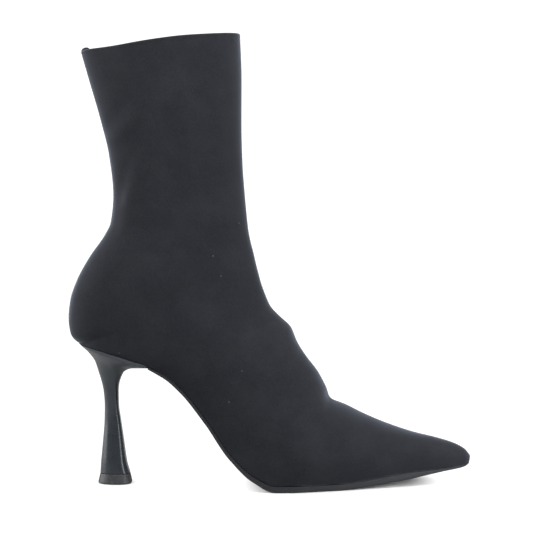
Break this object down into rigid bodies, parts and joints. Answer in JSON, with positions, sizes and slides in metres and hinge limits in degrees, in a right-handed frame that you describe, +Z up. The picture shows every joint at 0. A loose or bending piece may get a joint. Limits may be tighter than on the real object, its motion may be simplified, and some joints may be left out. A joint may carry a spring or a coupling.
{
  "type": "sock boot",
  "caption": "Pull-on knitted sock boot with a pointed toe and a slim flared heel, hollow and open at the collar, for the right foot.",
  "frame": {"origin": "on the floor, in the middle of the heel's top piece", "axes": "+X runs to the toe, +Y is the medial side, +Z is up; the boot stands on the plane Z = 0"},
  "size_m": [0.2375, 0.0786, 0.2647],
  "materials": {
    "knit": "fine matte stretch knit",
    "lining": "matte",
    "lacquer": "gloss",
    "tread": "satin",
    "sole": "satin edge, matte underside"
  },
  "bodies": {
    "root": {"upper": "knit", "insole": "lining", "outsole": "sole", "heel": "lacquer", "top_piece": "tread"}
  },
  "joints": []
}
